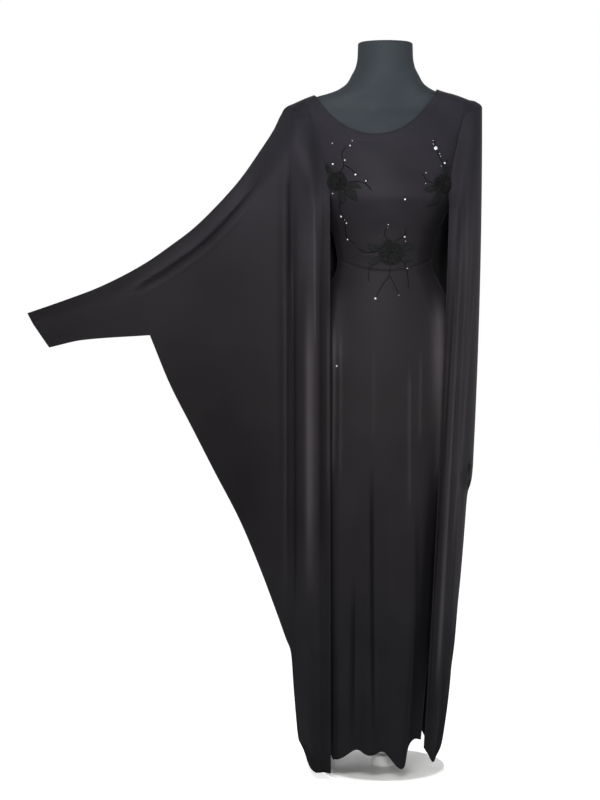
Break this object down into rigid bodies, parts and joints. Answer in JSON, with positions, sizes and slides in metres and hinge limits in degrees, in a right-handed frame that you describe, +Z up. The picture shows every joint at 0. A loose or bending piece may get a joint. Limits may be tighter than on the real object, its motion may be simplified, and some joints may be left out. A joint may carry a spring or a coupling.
{
  "type": "kaftan on a dress form",
  "caption": "Floor-length kaftan with butterfly wings and narrow sleeves, its left wing held out, on a limbless dress form with a round base.",
  "frame": {"origin": "centre of the base's flat underside", "axes": "+Z up, -Y the front, +X to the viewer's right when facing the front"},
  "size_m": [0.9413, 0.2763, 1.515],
  "materials": {
    "jersey": "black jersey with a soft sheen",
    "flower_cloth": "dull black",
    "form_cover": "smooth grey-blue stretch cover",
    "white_metal": "satin"
  },
  "bodies": {
    "root": {"bodice_front": "jersey", "bodice_back": "jersey", "skirt_front": "jersey", "skirt_back": "jersey", "wing_left_front": "jersey", "wing_left_back": "jersey", "wing_right_front": "jersey", "wing_right_back": "jersey", "flower_left": "flower_cloth", "flower_right": "flower_cloth", "flower_waist": "flower_cloth", "form_torso": "form_cover", "stand_pole": "white_metal", "stand_base": "white_metal"}
  },
  "joints": []
}
